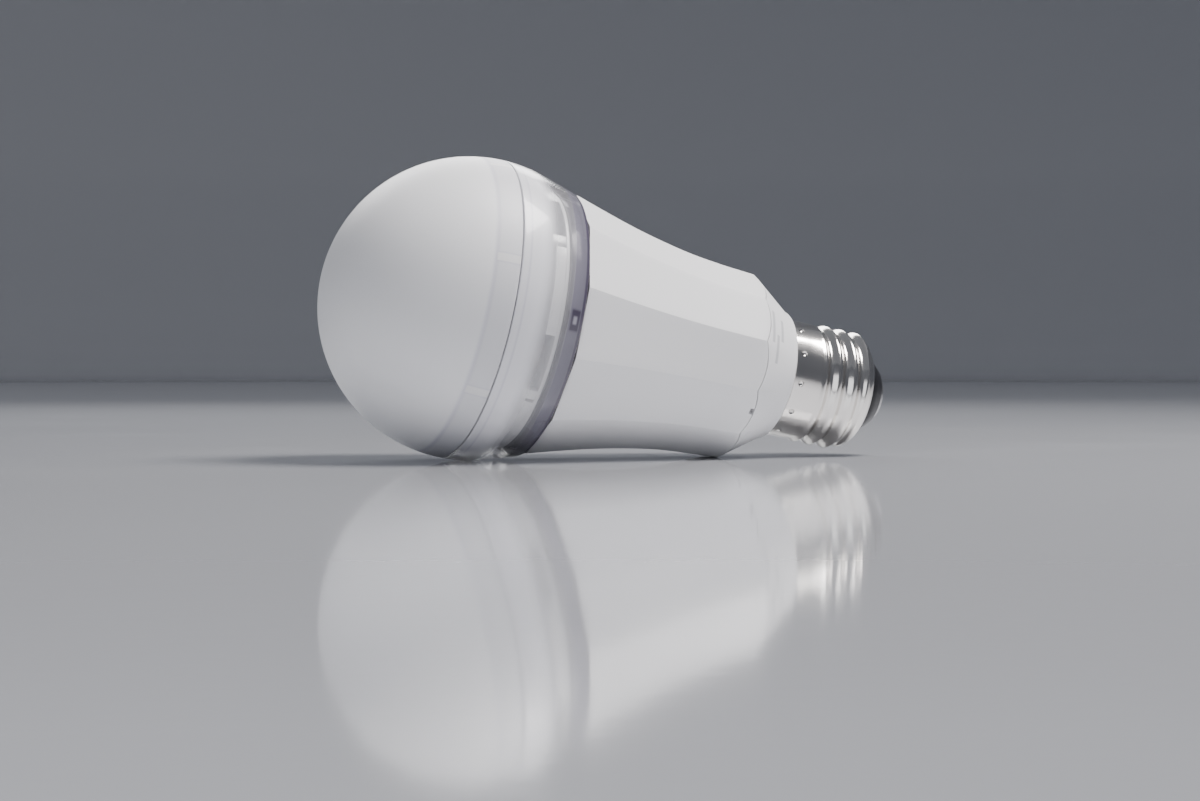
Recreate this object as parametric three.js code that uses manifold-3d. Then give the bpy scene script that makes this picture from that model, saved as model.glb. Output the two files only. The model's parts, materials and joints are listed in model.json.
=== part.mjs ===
// A smart light bulb with an Edison screw base, lying on its side: a frosted dome and a clear lens ring
// over the light engine, a twelve-sided metal body round the driver, a neck collar and the screw base.
// Millimetres, +Z up. Every piece is drawn upright round the bulb's own axis, with heights counted from the
// tip of the centre contact, and the whole bulb is laid down at the end.
import * as THREE from "three";
import { mergeVertices } from "three/addons/utils/BufferGeometryUtils.js";
import Module from "manifold-3d";

const wasm = await Module();
wasm.setup();

// Driving dimensions.
const bulbLength = 127;
const domeRadius = 31.75;
const domeWall = 1.6;
const gap = 0.3; // clearance between two pieces that touch
const roundSides = 48; // sides of the large round pieces
const smallSides = 24; // sides of the small ones

// The twelve-sided body: radii are to its corners.
const facetCount = 12;
const bodyFrontHeight = 79.3;
const bodyFrontRadius = 28.5;
const bodyRearHeight = 36.1;
const bodyRearRadius = 20.7;
const bodyWall = 1.6;

// The screw base.
const threadPitch = 3.63;
const threadCrest = 13.1;
const threadRoot = 12.1;
const threadShift = 1.1; // height of the thread's crest on the upper side, less whole turns
const threadFoot = 7; // height where the thread starts
const threadHead = 18.4; // height where it has run out into the plain band
const bandRadius = 12.75;
const shellBore = 11.7;
const shellTop = 25.3;
const crimpCount = 12;

// The light engine, one layer on the next.
const spreaderFloor = bodyFrontHeight - 1.9;
const spreaderTop = spreaderFloor + 1.5;
const padFloor = spreaderTop + gap;
const padTop = padFloor + 0.4;
const boardFloor = padTop + gap;
const boardTop = boardFloor + 1;
const partFloor = boardTop + gap; // where the parts on the light board stand
const boardScrewRadius = 20; // distance of the three screws from the axis
const screwHole = 1.5;
const rimTop = bodyFrontHeight + 4; // top of the heat spreader's turned-up rim

// The driver's circuit board stands in a plane along the axis.
const driverPlane = -1.5;
const driverThickness = 1.2;
const driverFront = driverPlane + driverThickness / 2 + gap;
const driverBack = driverPlane - driverThickness / 2 - gap;
const antennaPlane = -12;
const antennaThickness = 1;
const leadHoleX = -12; // the hole that the two lamp leads come up through

const turn = 2 * Math.PI;
const degrees = Math.PI / 180;
const seamHeight = bulbLength - domeRadius; // the dome's equator, where it sits on the lens ring
const facetStep = turn / facetCount;
const flatShare = Math.cos(facetStep / 2); // a flat's distance from the axis over its corners'
const towardsFront = -90 * degrees; // the side of the bulb that faces -Y once it lies down

// Geometry helpers.

function solidOf(geometry) {
  const bare = geometry.clone();
  bare.deleteAttribute("normal");
  bare.deleteAttribute("uv");
  const merged = mergeVertices(bare, 1e-4);
  const vertProperties = new Float32Array(merged.attributes.position.array);
  const triVerts = new Uint32Array(merged.index.array);
  return new wasm.Manifold(new wasm.Mesh({ numProp: 3, vertProperties, triVerts }));
}

function geometryOf(solid) {
  const { vertProperties, triVerts } = solid.getMesh();
  const geometry = new THREE.BufferGeometry();
  geometry.setAttribute("position", new THREE.BufferAttribute(vertProperties, 3));
  geometry.setIndex(new THREE.BufferAttribute(triVerts, 1));
  const flat = geometry.toNonIndexed();
  flat.computeVertexNormals();
  return flat;
}

function join(first, ...others) {
  return geometryOf(others.reduce((sum, each) => sum.add(solidOf(each)), solidOf(first)));
}

function cut(first, ...cutters) {
  return geometryOf(cutters.reduce((rest, each) => rest.subtract(solidOf(each)), solidOf(first)));
}

function common(first, second) {
  return geometryOf(solidOf(first).intersect(solidOf(second)));
}

function turnedOutline(outline, sides) {
  const points = outline.map(([radius, height]) => new THREE.Vector2(radius, height));
  return new THREE.LatheGeometry(points, sides, Math.PI / sides).rotateX(Math.PI / 2);
}

// A solid turned from an outline of [radius, height] that starts and ends on the axis, going upwards.
function turnedSolid(outline, sides = smallSides) {
  return turnedOutline(outline, sides);
}

// A ring turned from a closed outline: up the outside, then down the inside.
function turnedRing(outline, sides = roundSides) {
  return turnedOutline([...outline, outline[0]], sides);
}

// A ring whose outline changes with the angle: up the outside, then down the inside.
function shapedRing(outlineAt, sides = roundSides) {
  const columns = Array.from({ length: sides }, (_, i) => {
    const angle = (i * turn) / sides;
    return outlineAt(angle).map(([radius, height]) => {
      return [radius * Math.cos(angle), radius * Math.sin(angle), height];
    });
  });
  const rows = columns[0].length;
  const index = [];
  for (let i = 0; i < sides; i++) {
    for (let j = 0; j < rows; j++) {
      const here = i * rows;
      const next = ((i + 1) % sides) * rows;
      const above = (j + 1) % rows;
      index.push(here + j, next + j, next + above);
      index.push(here + j, next + above, here + above);
    }
  }
  const geometry = new THREE.BufferGeometry();
  geometry.setAttribute("position", new THREE.Float32BufferAttribute(columns.flat(2), 3));
  geometry.setIndex(index);
  geometry.computeVertexNormals();
  return geometry;
}

// Points on a circle about the axis's point at centreHeight, from one angle to another above its equator.
function arc(radius, centreHeight, from, to, steps) {
  return Array.from({ length: steps + 1 }, (_, i) => {
    const angle = from + ((to - from) * i) / steps;
    return [radius * Math.cos(angle), centreHeight + radius * Math.sin(angle)];
  });
}

function box(width, depth, height, x, y, floor) {
  return new THREE.BoxGeometry(width, depth, height).translate(x, y, floor + height / 2);
}

// A box with rounded upright edges.
function roundedBox(width, depth, height, radius, x, y, floor) {
  const [w, d] = [width / 2 - radius, depth / 2 - radius];
  const shape = new THREE.Shape();
  shape.absarc(w, d, radius, 0, turn / 4);
  shape.absarc(-w, d, radius, turn / 4, turn / 2);
  shape.absarc(-w, -d, radius, turn / 2, (3 * turn) / 4);
  shape.absarc(w, -d, radius, (3 * turn) / 4, turn);
  const settings = { depth: height, bevelEnabled: false, curveSegments: 3 };
  return new THREE.ExtrudeGeometry(shape, settings).translate(x, y, floor);
}

function rod(radius, floor, top, x = 0, y = 0, sides = 16) {
  return turnedSolid([[0, floor], [radius, floor], [radius, top], [0, top]], sides).translate(x, y, 0);
}

// Turns a piece drawn on the +X side round the axis.
function swung(geometry, angle) {
  return geometry.rotateZ(angle);
}

function around(count, first = 0) {
  return Array.from({ length: count }, (_, i) => first + (i * turn) / count);
}

// A curved bar: part of a flat ring.
function arcBar(inner, outer, floor, top, middle, half) {
  const shape = new THREE.Shape();
  shape.absarc(0, 0, outer, middle - half, middle + half, false);
  shape.absarc(0, 0, inner, middle + half, middle - half, true);
  const settings = { depth: top - floor, bevelEnabled: false, curveSegments: 5 };
  return new THREE.ExtrudeGeometry(shape, settings).translate(0, 0, floor);
}

function wire(points, radius, steps) {
  const corners = around(6).map((a) => new THREE.Vector2(radius * Math.cos(a), radius * Math.sin(a)));
  const path = new THREE.CatmullRomCurve3(points.map((p) => new THREE.Vector3(...p)));
  const settings = { steps, bevelEnabled: false, extrudePath: path };
  return new THREE.ExtrudeGeometry(new THREE.Shape(corners), settings);
}

// The body's corners follow one smooth flare from the neck to the lens ring.
const flare = new THREE.SplineCurve([
  new THREE.Vector2(bodyRearRadius, bodyRearHeight),
  new THREE.Vector2(21.3, 44.9),
  new THREE.Vector2(22.4, 53.8),
  new THREE.Vector2(24.8, 65.6),
  new THREE.Vector2(bodyFrontRadius, bodyFrontHeight),
]);
const flarePoints = flare.getPoints(7).map((p) => [p.x, p.y]);

function flareRadius(height) {
  const upper = flarePoints.findIndex(([, h]) => h >= height);
  if (upper < 1) return bodyRearRadius;
  const [r0, h0] = flarePoints[upper - 1];
  const [r1, h1] = flarePoints[upper];
  return r0 + ((r1 - r0) * (height - h0)) / (h1 - h0);
}

function facetRadius(cornerRadius, angle) {
  const offset = angle - Math.round(angle / facetStep) * facetStep;
  return (cornerRadius * flatShare) / Math.cos(offset);
}

// The room inside the body at a height, and the heights where its bore and the sleeve in it are shaped.
function bodyBore(height) {
  return flareRadius(height) * flatShare - bodyWall;
}
const boreHeights = [46, 55, 64, spreaderFloor - 3.2];

// The collar is a round cone. It meets the flats in a scalloped line, lowest in the middle of each flat.
const collarFoot = 26.6;
const collarFootRadius = 14.2;
const collarSlope = (bodyRearRadius - collarFootRadius) / (bodyRearHeight - collarFoot);

function collarRadius(height) {
  return bodyRearRadius + collarSlope * (height - bodyRearHeight);
}

function scallopHeight(angle) {
  return bodyRearHeight + (facetRadius(bodyRearRadius, angle) - bodyRearRadius) / collarSlope;
}

// The outer pieces.

function diffuserDome() {
  const inner = domeRadius - domeWall;
  const edge = seamHeight + gap / 2;
  const rise = (radius) => Math.asin((edge - seamHeight) / radius);
  const outside = arc(domeRadius, seamHeight, rise(domeRadius), turn / 4, 10);
  const inside = arc(inner, seamHeight, turn / 4, rise(inner), 8);
  return turnedSolid([...inside, ...outside].map(([r, h]) => [Math.max(r, 0), h]), roundSides);
}

// The clear ring carries on the dome's sphere and then tapers straight to the body. Its spigot goes up inside
// the dome, with ribs that snap in, and four hooks hold it to the heat spreader's rim.
const spigotRoot = 29.3;
const spigotHeight = 5.5;
const ribCount = 7;
const latchCount = 4;
const latchFloor = bodyFrontHeight + 1.7;

function lensRing() {
  const reach = Math.hypot(bodyFrontRadius, seamHeight - bodyFrontHeight);
  const below = Math.atan2(seamHeight - bodyFrontHeight, bodyFrontRadius) - Math.acos(domeRadius / reach);
  const shoulder = seamHeight - gap / 2;
  const ring = turnedRing([
    [bodyFrontRadius, bodyFrontHeight + gap],
    ...arc(domeRadius, seamHeight, -below, -gap / 2 / domeRadius, 4),
    [spigotRoot, shoulder],
    [spigotRoot - 0.6, shoulder + spigotHeight],
    [spigotRoot - 1.8, shoulder + spigotHeight],
    [spigotRoot - 1.2, shoulder - 1.4],
    [29.7, shoulder - 3],
    [29.3, 88.5],
    [28.1, rimTop],
    [27.05, rimTop - 0.2],
    [27.05, bodyFrontHeight + gap],
  ]);
  const ribs = around(ribCount, towardsFront + 17 * degrees).map((angle) => {
    return swung(box(1.2, 1.6, 4.6, spigotRoot - 0.55, 0, shoulder + 0.4), angle);
  });
  const hooks = around(latchCount, towardsFront).map((angle) => {
    return swung(box(1.4, 2.2, 1.2, 26.7, 0, latchFloor), angle);
  });
  return join(ring, ...ribs, ...hooks);
}

function heatsinkBody() {
  const shell = shapedRing((angle) => [
    [facetRadius(bodyRearRadius, angle), scallopHeight(angle)],
    ...flarePoints.slice(1).map(([radius, height]) => [facetRadius(radius, angle), height]),
    [25.6, bodyFrontHeight],
    [25.6, spreaderFloor - gap],
    [22.8, spreaderFloor - gap],
    [22.8, spreaderFloor - 1.6],
    [bodyBore(spreaderFloor - 2.4), spreaderFloor - 2.4],
    ...boreHeights.map((height) => [bodyBore(height), height]).reverse(),
    [bodyBore(bodyRearHeight), 40],
    [bodyBore(bodyRearHeight), scallopHeight(angle)],
  ]);
  const keyNotch = box(5, 1.4, 1.1, bodyRearRadius, 0, bodyRearHeight - 1.2);
  return cut(shell, swung(keyNotch, towardsFront - 29 * degrees));
}

function neckCollar() {
  const spigot = bodyBore(bodyRearHeight) - gap;
  return shapedRing((angle) => {
    const edge = scallopHeight(angle) - gap;
    return [
      [shellBore - 0.4, 11.5],
      [shellBore - 0.4, shellTop + gap],
      [13.4, shellTop + gap],
      [14, shellTop + 0.6],
      [collarFootRadius, shellTop + 1],
      [collarFootRadius, collarFoot],
      [collarRadius(edge), edge],
      [spigot, edge],
      [spigot, 41],
      [spigot - 1.4, 41],
      [spigot - 1.4, 34.6],
      [12.5, 28.4],
      [10.2, 26],
      [10.2, 11.5],
    ];
  });
}

// The screw base.

function threadRadius(angle, height) {
  const wave = 0.5 + 0.5 * Math.cos(turn * ((height - threadShift) / threadPitch - angle / turn));
  const runIn = THREE.MathUtils.smoothstep(height, threadFoot, threadFoot + 1.2);
  return threadRoot + (threadCrest - threadRoot) * wave * runIn;
}

function screwShell() {
  const rows = 17;
  const threadHeights = Array.from({ length: rows }, (_, i) => {
    return threadFoot + ((threadHead - threadFoot) * i) / (rows - 1);
  });
  const shell = shapedRing((angle) => [
    [9, 5],
    [10, 5.3],
    [11.2, 6],
    ...threadHeights.map((height) => [threadRadius(angle, height), height]),
    [bandRadius, threadHead + 0.6],
    [bandRadius, shellTop],
    [shellBore, shellTop],
    [shellBore, threadFoot + 0.6],
    [10.7, 6.4],
    [9, 5.7],
  ], 32);
  const crimps = around(crimpCount, towardsFront - 6 * degrees).map((angle) => {
    return swung(new THREE.SphereGeometry(0.75, 7, 4).translate(bandRadius + 0.3, 0, shellTop - 1.8), angle);
  });
  return cut(shell, ...crimps);
}

function baseInsulator() {
  return turnedRing([
    [1.7, 1.9],
    [5.4, 1.9],
    [5.6, 1.2],
    [6.3, 1.5],
    [8.2, 3.7],
    [8.6, 4.7],
    [8.6, 6],
    [10, 7],
    [10.2, 8.3],
    [1.7, 8.3],
  ], smallSides);
}

function centreContact() {
  return turnedSolid([
    [0, 0],
    [4, 0],
    [4.8, 0.4],
    [5.1, 1],
    [5.1, 1.6],
    [1.3, 1.6],
    [1.3, 9],
    [0, 9],
  ]);
}

// The light engine.

// What passes through the light board, its pad and the heat spreader: screws, the lamp leads, the antenna.
function throughHoles() {
  const from = spreaderFloor - 5;
  const to = boardTop + 5;
  const screws = around(3, 90 * degrees).map((angle) => {
    return swung(rod(screwHole, from, to, boardScrewRadius, 0, 12), angle);
  });
  const leads = rod(1.9, from, to, leadHoleX, 0);
  const antenna = box(11, antennaThickness + 2 * gap + 0.2, to - from, 0, antennaPlane, from);
  return [...screws, leads, antenna];
}

function heatSpreader() {
  const plate = turnedSolid([
    [0, spreaderFloor],
    [25.2, spreaderFloor],
    [25.2, bodyFrontHeight + gap],
    [26.7, bodyFrontHeight + gap],
    [26.7, rimTop],
    [25.6, rimTop],
    [25.6, spreaderTop + 1.5],
    [24.2, spreaderTop + 1.5],
    [24.2, spreaderTop],
    [0, spreaderTop],
  ], roundSides);
  const windows = around(latchCount, towardsFront).map((angle) => {
    return swung(box(3, 3.4, 2.2, 26.4, 0, latchFloor - 0.5), angle);
  });
  return cut(plate, ...windows, ...throughHoles());
}

function thermalPad() {
  return cut(rod(22.2, padFloor, padTop, 0, 0, 36), ...throughHoles());
}

function ledBoard() {
  return cut(rod(22.5, boardFloor, boardTop, 0, 0, 36), ...throughHoles());
}

// A white dish round the lamps. Its flange carries raised bars and the tabs that the ring clips between.
const barCount = 5;
const barMiddle = towardsFront + 12 * degrees;

function reflectorDish() {
  const floor = rimTop + gap;
  const top = floor + 0.8;
  const dish = turnedRing([
    [14.2, partFloor + 0.5],
    [25.1, floor],
    [27.5, floor],
    [27.5, top],
    [25.3, top],
    [14.2, partFloor + 1.4],
  ], 40);
  const bars = around(barCount, barMiddle).map((angle) => {
    return arcBar(26.3, 27.4, top - 0.2, top + 2.3, angle, 20 * degrees);
  });
  const tabs = around(barCount, barMiddle + 24 * degrees).map((angle) => {
    return swung(box(1.6, 2.4, 3.4, 26.6, 0, top - 0.2), angle);
  });
  return join(dish, ...bars, ...tabs);
}

function ledPackage(x, y) {
  const base = box(2.8, 2.8, 0.6, 0, 0, partFloor);
  const crown = arc(1.15, partFloor + 0.5, 0, turn / 4, 3).slice(0, -1);
  const outline = [[0, partFloor + 0.3], [1.15, partFloor + 0.3], ...crown, [0, partFloor + 1.65]];
  return join(base, turnedSolid(outline, 12)).translate(x, y, 0);
}

function boardScrew(angle) {
  const top = partFloor + 0.8;
  const screw = turnedSolid([
    [0, spreaderFloor - 1.1],
    [0.8, spreaderFloor - 1.1],
    [1.1, spreaderFloor - 0.6],
    [1.1, partFloor],
    [2, partFloor],
    [2, top - 0.4],
    [1.5, top],
    [0, top],
  ], 12);
  const slots = [box(2.2, 0.5, 1, 0, 0, top - 0.4), box(0.5, 2.2, 1, 0, 0, top - 0.4)];
  return swung(cut(screw, ...slots).translate(boardScrewRadius, 0, 0), angle);
}

// The driver.

// An insulating tube with two grooved rails that hold the circuit board by its long edges.
function driverSleeve() {
  const heights = [42.5, ...boreHeights];
  const outside = heights.map((height) => [bodyBore(height) - 0.5, height]);
  const inside = outside.map(([radius, height]) => [radius - 1.2, height]).reverse();
  const tube = turnedRing([...outside, ...inside], 32);
  const filled = turnedSolid([[0, heights[0]], ...outside, [0, heights.at(-1)]], 32);
  const railSides = [driverFront, driverBack - 1.4];
  const rails = [1, -1].flatMap((side) => railSides.map((edge) => {
    return common(box(8, 1.4, 26, side * 18.8, edge + 0.7, 44), filled);
  }));
  return join(tube, ...rails);
}

function powerBoard() {
  const halfOutline = [[8.6, 15.8], [8.6, 27], [15.9, 43], [15.9, 71]];
  const mirrored = halfOutline.map(([x, height]) => [-x, height]).reverse();
  const corners = [...halfOutline, ...mirrored].map((corner) => new THREE.Vector2(...corner));
  const settings = { depth: driverThickness, bevelEnabled: false };
  const board = new THREE.ExtrudeGeometry(new THREE.Shape(corners), settings);
  return board.rotateX(turn / 4).translate(0, driverPlane + driverThickness / 2, 0);
}

// A can capacitor standing along the axis, with a rolled groove near its foot and a dished top.
function canCapacitor(radius, floor, top, x, y) {
  return turnedSolid([
    [0, floor],
    [radius - 0.4, floor],
    [radius, floor + 0.4],
    [radius, floor + 1.5],
    [radius - 0.5, floor + 2],
    [radius, floor + 2.5],
    [radius, top - 0.5],
    [radius - 0.5, top],
    [radius - 1.1, top - 0.3],
    [0, top - 0.3],
  ], 16).translate(x, y, 0);
}

const transformerX = 0;
const transformerY = driverFront + 7.6;
const transformerFloor = 57.5;

function transformerCore() {
  const core = box(16, 8.6, 13, transformerX, transformerY, transformerFloor);
  const windows = [1, -1].map((side) => {
    return box(3.4, 12, 8.6, transformerX + side * 4.1, transformerY, transformerFloor + 2.2);
  });
  return cut(core, ...windows);
}

function transformerWinding() {
  const floor = transformerFloor + 2.5;
  const coil = roundedBox(10.8, 14, 8, 1.5, transformerX, transformerY, floor);
  return cut(coil, box(5.6, 9.4, 12, transformerX, transformerY, floor - 2));
}

function chokeInductor() {
  const y = driverFront + 4.4;
  return turnedSolid([
    [0, 45],
    [4.2, 45],
    [4.2, 46.2],
    [3.4, 46.6],
    [3.4, 50.4],
    [4.2, 50.8],
    [4.2, 52],
    [0, 52],
  ], 16).translate(10.6, y, 0);
}

function filmCapacitor() {
  return roundedBox(4.4, 8, 10, 0.8, 11.6, driverFront + 4.3, 56);
}

// A flat moulded chip on the back of the driver's board, with a bar of leads on each side.
function boardChip(width, height, thickness, x, floor) {
  const y = driverBack - thickness / 2;
  const body = box(width, thickness, height, x, y, floor);
  const leads = box(width + 1.6, 0.4, height - 0.8, x, driverBack - 0.2, floor + 0.4);
  return join(body, leads);
}

function fuseResistor() {
  const y = driverBack - 2;
  return turnedSolid([
    [0, 17],
    [1.4, 17],
    [1.7, 17.6],
    [1.45, 18.6],
    [1.45, 22.4],
    [1.7, 23.4],
    [1.4, 24],
    [0, 24],
  ], 12).translate(0, y, 0);
}

function radioBoard() {
  return box(10, antennaThickness, 24.5, 0, antennaPlane, 61);
}

function radioShield() {
  const back = antennaPlane - antennaThickness / 2 - gap;
  const depth = 2;
  const can = box(8.4, depth, 10, 0, back - depth / 2, 61.5);
  return cut(can, box(7.6, depth, 9.2, 0, back + 0.4 - depth / 2, 61.9));
}

function boardHeader() {
  const from = antennaPlane + antennaThickness / 2 + gap;
  return box(7, driverBack - from, 2.4, 0, (driverBack + from) / 2, 62.6);
}

function lampLead(side) {
  const y = side * 0.95;
  return wire([
    [leadHoleX, side * 4, partFloor + 0.9],
    [leadHoleX, side * 2.4, partFloor + 1],
    [leadHoleX, y, partFloor - 0.4],
    [leadHoleX, y, 76],
    [leadHoleX + 1.5 + side, driverPlane, 72.2],
  ], 0.6, 14);
}

function lineLead() {
  return wire([[2.2, driverPlane, 15.2], [2.2, -1, 13.4], [0.6, 0, 11.6], [0, 0, 9.8]], 0.7, 7);
}

function neutralLead() {
  return wire([[-4, driverPlane, 15.2], [-4.2, -0.8, 13.2], [-7.5, 0, 10.8], [-10.7, 0, 10.1]], 0.7, 8);
}

// Materials and assembly.

function material(color, roughness, metalness = 0, opacity = 1) {
  return new THREE.MeshStandardMaterial({ color, roughness, metalness, opacity, transparent: opacity < 1 });
}

const frostedPlastic = material(0xf2f1f4, 0.45, 0, 0.9);
const clearPlastic = material(0xe9e8f0, 0.3, 0, 0.7);
const reflectorWhite = material(0xfafafa, 0.35);
const darkAnodised = material(0x3b3a44, 0.45, 0.7);
const padGrey = material(0x9aa0a6, 0.9);
const boardWhite = material(0xf4f4f0, 0.4);
const paintedMetal = material(0xf0eff0, 0.42);
const neckWhite = material(0xefeeef, 0.38);
const nickel = material(0xc9c6c0, 0.22, 1);
const blackGlass = material(0x0d0d0f, 0.25);
const steel = material(0xb9bbbe, 0.35, 1);
const boardGreen = material(0x1f6b3f, 0.5);
const boardBlue = material(0x1d3f7a, 0.5);
const ferrite = material(0x2c2c2e, 0.7);
const windingTape = material(0xe3c24a, 0.45);
const capacitorSleeve = material(0x23262e, 0.4);
const filmYellow = material(0xd8a92c, 0.4);
const chipBlack = material(0x17181a, 0.55);
const resistorBlue = material(0x5f8fa8, 0.5);
const sleeveGrey = material(0xd9dadb, 0.6);
const redWire = material(0xb3261e, 0.5);
const blackWire = material(0x1c1c1e, 0.5);
const lampColours = {
  white: material(0xf6e9a8, 0.35),
  red: material(0xe8a79d, 0.35),
  green: material(0xa9d9a4, 0.35),
  blue: material(0x9fb6e6, 0.35),
};

const bulb = new THREE.Group();

function add(name, geometry, finish) {
  const mesh = new THREE.Mesh(geometry, finish);
  mesh.name = name;
  bulb.add(mesh);
}

add("diffuser_dome", diffuserDome(), frostedPlastic);
add("lens_ring", lensRing(), clearPlastic);
add("heatsink_body", heatsinkBody(), paintedMetal);
add("neck_collar", neckCollar(), neckWhite);
add("screw_shell", screwShell(), nickel);
add("base_insulator", baseInsulator(), blackGlass);
add("centre_contact", centreContact(), steel);

add("reflector_dish", reflectorDish(), reflectorWhite);
add("heat_spreader", heatSpreader(), darkAnodised);
add("thermal_pad", thermalPad(), padGrey);
add("led_board", ledBoard(), boardWhite);
around(3, 90 * degrees).forEach((angle, i) => add(`board_screw_${i + 1}`, boardScrew(angle), steel));

// One white lamp in the middle, and two of each colour in turn round it.
const lampRing = 7.6;
add("led_white_centre", ledPackage(0, 0), lampColours.white);
around(8).forEach((angle, i) => {
  const colour = Object.keys(lampColours)[i % 4];
  const lamp = ledPackage(lampRing * Math.cos(angle), lampRing * Math.sin(angle));
  add(`led_${colour}_${i < 4 ? 1 : 2}`, lamp, lampColours[colour]);
});
add("temperature_sensor", box(1.6, 1, 0.6, 3.8, 1.6, partFloor), chipBlack);

add("driver_sleeve", driverSleeve(), sleeveGrey);
add("power_board", powerBoard(), boardGreen);
add("bulk_capacitor", canCapacitor(4.8, 17, 37, 0, driverFront + 4.9), capacitorSleeve);
add("output_capacitor", canCapacitor(3.9, 44, 56.5, -10.6, driverFront + 4.8), capacitorSleeve);
add("transformer_core", transformerCore(), ferrite);
add("transformer_winding", transformerWinding(), windingTape);
add("choke_inductor", chokeInductor(), ferrite);
add("film_capacitor", filmCapacitor(), filmYellow);
add("bridge_rectifier", boardChip(5, 6, 2.2, 0, 29), chipBlack);
add("switching_transistor", boardChip(6.4, 6, 2.2, -6, 47), chipBlack);
add("controller_chip", boardChip(5, 5, 1.6, 6, 48), chipBlack);
add("fuse_resistor", fuseResistor(), resistorBlue);
add("radio_board", radioBoard(), boardBlue);
add("radio_shield", radioShield(), steel);
add("board_header", boardHeader(), chipBlack);
add("lamp_lead_positive", lampLead(1), redWire);
add("lamp_lead_negative", lampLead(-1), blackWire);
add("line_lead", lineLead(), blackWire);
add("neutral_lead", neutralLead(), redWire);

// It rests on the round front of the lens ring, which carries on the dome's sphere, and on the rear end of
// the body's lowest flat, so its axis slopes down towards the base.
const flatRadius = bodyRearRadius * flatShare;
const flatSetback = seamHeight - scallopHeight(0);
const rearReach = Math.hypot(flatRadius, flatSetback);
const slope = Math.asin(domeRadius / rearReach) - Math.atan2(flatRadius, flatSetback);
bulb.rotation.y = slope - Math.PI / 2;
bulb.updateMatrixWorld(true);

// The origin is under the middle of the bulb, on the surface it lies on.
const bounds = new THREE.Box3().setFromObject(bulb, true);
const middle = bounds.getCenter(new THREE.Vector3());
bulb.position.set(-middle.x, -middle.y, -bounds.min.z);

const lyingBulb = new THREE.Group();
lyingBulb.add(bulb);

export default lyingBulb;
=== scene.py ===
# A smart light bulb lying on its side on a pale table. The outer pieces are modelled finely over the packed
# part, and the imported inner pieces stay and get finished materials.
import json
from math import acos, asin, atan2, cos, hypot, pi, radians, sin

import bpy
from mathutils import Matrix, Vector


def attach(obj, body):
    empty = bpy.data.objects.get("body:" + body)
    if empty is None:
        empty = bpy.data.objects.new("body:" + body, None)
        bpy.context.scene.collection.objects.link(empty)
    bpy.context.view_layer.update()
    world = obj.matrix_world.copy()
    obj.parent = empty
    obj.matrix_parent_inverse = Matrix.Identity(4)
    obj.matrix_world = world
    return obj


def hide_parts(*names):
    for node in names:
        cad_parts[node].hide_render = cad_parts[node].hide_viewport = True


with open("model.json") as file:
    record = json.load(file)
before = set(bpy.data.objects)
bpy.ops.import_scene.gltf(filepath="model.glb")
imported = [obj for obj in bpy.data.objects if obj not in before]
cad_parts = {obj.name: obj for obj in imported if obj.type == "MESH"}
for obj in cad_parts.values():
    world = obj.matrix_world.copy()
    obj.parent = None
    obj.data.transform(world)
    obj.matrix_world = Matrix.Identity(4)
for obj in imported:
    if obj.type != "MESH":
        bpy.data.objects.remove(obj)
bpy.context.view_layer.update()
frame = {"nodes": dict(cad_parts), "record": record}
print("packed part loaded with", len(frame["nodes"]), "nodes")

# Each piece is drawn upright round the bulb's axis, in millimetres above the tip of its contact, and is then
# laid down.
mm = 0.001
fullTurn = 2 * pi
towardsFront = -90  # degrees round the axis: the side that faces -Y once the bulb lies down
mounts = {mount["name"]: mount for mount in frame["record"]["mounts"]}
tip = Vector(mounts["contact_tip"]["pos_m"])
outwards = Vector(mounts["contact_tip"]["axis"])
lean = asin(-outwards.z) - pi / 2
layDown = Matrix.Translation(tip) @ Matrix.Rotation(lean, 4, "Y") @ Matrix.Scale(mm, 4)


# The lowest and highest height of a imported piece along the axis, and its largest radius.
def measure(node):
    standUp = layDown.inverted()
    points = [standUp @ vertex.co for vertex in frame["nodes"][node].data.vertices]
    heights = [point.z for point in points]
    return min(heights), max(heights), max(hypot(point.x, point.y) for point in points)


# Modelling helpers.
def only(piece):
    bpy.ops.object.select_all(action="DESELECT")
    piece.select_set(True)
    bpy.context.view_layer.objects.active = piece


def edit(piece, kind="VERT"):
    only(piece)
    bpy.ops.object.mode_set(mode="EDIT")
    bpy.ops.mesh.select_mode(type=kind)
    bpy.ops.mesh.select_all(action="SELECT")


def leave():
    bpy.ops.object.mode_set(mode="OBJECT")


# Selects the points of the piece being edited whose place passes the test.
def pick(piece, wanted):
    bpy.ops.mesh.select_all(action="DESELECT")
    leave()
    for vertex in piece.data.vertices:
        vertex.select = wanted(vertex.co)
    bpy.ops.object.mode_set(mode="EDIT")


def arc(radius, centre, start, end, steps):
    angles = [start + (end - start) * i / steps for i in range(steps + 1)]
    return [(radius * cos(a), centre + radius * sin(a)) for a in angles]


# Draws a line through (radius, height) points. A third number rounds that corner.
def drawLine(name, points):
    bpy.ops.object.select_all(action="DESELECT")
    bpy.ops.mesh.primitive_plane_add(size=0.1, location=(points[0][0], 0, points[0][1]))
    piece = bpy.context.object
    piece.name = piece.data.name = name
    edit(piece)
    bpy.ops.mesh.merge(type="CENTER")
    for before, after in zip(points, points[1:]):
        step = (after[0] - before[0], 0, after[1] - before[1])
        bpy.ops.mesh.extrude_region_move(TRANSFORM_OT_translate={"value": step})
    leave()
    bpy.ops.object.transform_apply(location=True)
    edit(piece)
    bpy.ops.mesh.remove_doubles(threshold=0.001)
    for radius in sorted({point[2] for point in points if len(point) > 2}):
        corners = [Vector((p[0], 0, p[1])) for p in points if len(p) > 2 and p[2] == radius]
        pick(piece, lambda place: any((place - corner).length < 0.002 for corner in corners))
        bpy.ops.mesh.bevel(affect="VERTICES", offset_type="OFFSET", offset=radius, segments=4, profile=0.5)
    return piece


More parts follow.
